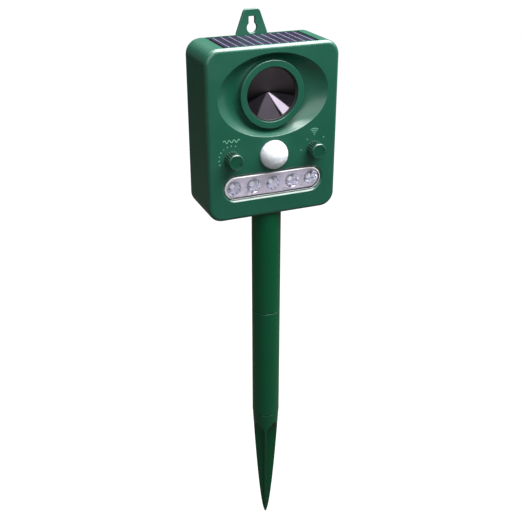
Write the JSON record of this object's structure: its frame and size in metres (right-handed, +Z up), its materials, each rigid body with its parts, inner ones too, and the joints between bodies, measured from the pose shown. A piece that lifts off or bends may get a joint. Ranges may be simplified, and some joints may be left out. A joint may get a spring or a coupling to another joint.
{
  "type": "ultrasonic pest repeller",
  "caption": "Solar garden pest repeller: box-shaped head with loudspeaker dish, motion sensor dome, light strip and control knobs, on a push-fit stake with a finned spike.",
  "frame": {"origin": "on the stake's axis at the ground line, where the spike meets the tubes", "axes": "+Z up along the stake, -Y out of the front face (speaker, lens and knobs), +X to the right seen from the front"},
  "size_m": [0.112, 0.0585, 0.4952],
  "materials": {
    "green_shell": "satin moulded, fine texture",
    "green_stake": "satin moulded",
    "green_knob": "satin moulded",
    "black_rubber": "matte",
    "black_plastic": "matte",
    "panel_board": "gloss",
    "panel_cells": "gloss laminate over dark cells",
    "speaker_metal": "polished dark metal",
    "piezo_brass": "plain",
    "lens_white": "milky translucent",
    "clear_plastic": "clear",
    "mirror_plastic": "vacuum-plated plastic",
    "steel_parts": "plain",
    "circuit_board": "solder resist",
    "cell_wrap": "shrink sleeve",
    "wire_sleeve": "soft sleeve"
  },
  "bodies": {
    "spike": {"ground_spike": "green_stake"},
    "lower_stake": {"lower_tube": "green_stake"},
    "upper_stake": {"upper_tube": "green_stake"},
    "head": {"front_housing": "green_shell", "back_cover": "green_shell", "housing_seal": "black_rubber", "compartment_seal": "black_rubber", "speaker_gasket": "black_rubber", "speaker_frame": "black_plastic", "lens_retainer": "black_plastic", "battery_tray": "black_plastic", "power_switch": "black_plastic", "potentiometer_frequency": "black_plastic", "potentiometer_sensitivity": "black_plastic", "led_connector": "black_plastic", "step_up_coil": "black_plastic", "control_chip": "black_plastic", "solar_board": "panel_board", "solar_cells": "panel_cells", "speaker_cone": "speaker_metal", "piezo_disc": "piezo_brass", "sensor_lens": "lens_white", "light_window": "clear_plastic", "led_1": "clear_plastic", "led_2": "clear_plastic", "led_3": "clear_plastic", "led_4": "clear_plastic", "led_5": "clear_plastic", "light_reflector": "mirror_plastic", "housing_screw_1": "steel_parts", "housing_screw_2": "steel_parts", "housing_screw_3": "steel_parts", "housing_screw_4": "steel_parts", "board_screw_1": "steel_parts", "board_screw_2": "steel_parts", "motion_sensor": "steel_parts", "capacitor": "steel_parts", "battery_contact_left": "steel_parts", "battery_contact_right": "steel_parts", "charging_socket": "steel_parts", "main_board": "circuit_board", "led_board": "circuit_board", "battery_cell_1": "cell_wrap", "battery_cell_2": "cell_wrap", "battery_cell_3": "cell_wrap", "solar_lead": "wire_sleeve", "speaker_lead": "wire_sleeve", "battery_lead": "wire_sleeve"},
    "frequency_knob": {"knob_frequency": "green_knob", "shaft_frequency": "steel_parts"},
    "sensitivity_knob": {"knob_sensitivity": "green_knob", "shaft_sensitivity": "steel_parts"},
    "power_button_body": {"power_button": "black_rubber"},
    "charging_flap_body": {"charging_flap": "black_rubber"},
    "battery_door_body": {"battery_door": "green_shell", "door_screw": "steel_parts"}
  },
  "joints": [
    {"name": "lower_stake_pull", "type": "slide", "parent": "spike", "child": "lower_stake", "axis": [0, 0, 1], "range_m": [0, 0.022]},
    {"name": "upper_stake_pull", "type": "slide", "parent": "lower_stake", "child": "upper_stake", "axis": [0, 0, 1], "range_m": [0, 0.02]},
    {"name": "head_swivel", "type": "hinge", "parent": "upper_stake", "child": "head", "pos_m": [0, 0, 0.214], "axis": [0, 0, 1], "continuous": true},
    {"name": "frequency_turn", "type": "hinge", "parent": "head", "child": "frequency_knob", "pos_m": [-0.0357, -0.0154, 0.2607], "axis": [0, 1, 0], "range_deg": [-260, 20]},
    {"name": "sensitivity_turn", "type": "hinge", "parent": "head", "child": "sensitivity_knob", "pos_m": [0.0357, -0.0154, 0.2607], "axis": [0, 1, 0], "range_deg": [-230, 50]},
    {"name": "power_press", "type": "slide", "parent": "head", "child": "power_button_body", "axis": [0, -1, 0], "range_m": [0, 0.0018], "stiffness_N_per_m": 800},
    {"name": "charging_flap_open", "type": "hinge", "parent": "head", "child": "charging_flap_body", "pos_m": [0.016, 0.0325, 0.2925], "axis": [-1, 0, 0], "range_deg": [0, 110]},
    {"name": "battery_door_pull", "type": "slide", "parent": "head", "child": "battery_door_body", "axis": [0, 1, 0], "range_m": [0, 0.025]}
  ]
}
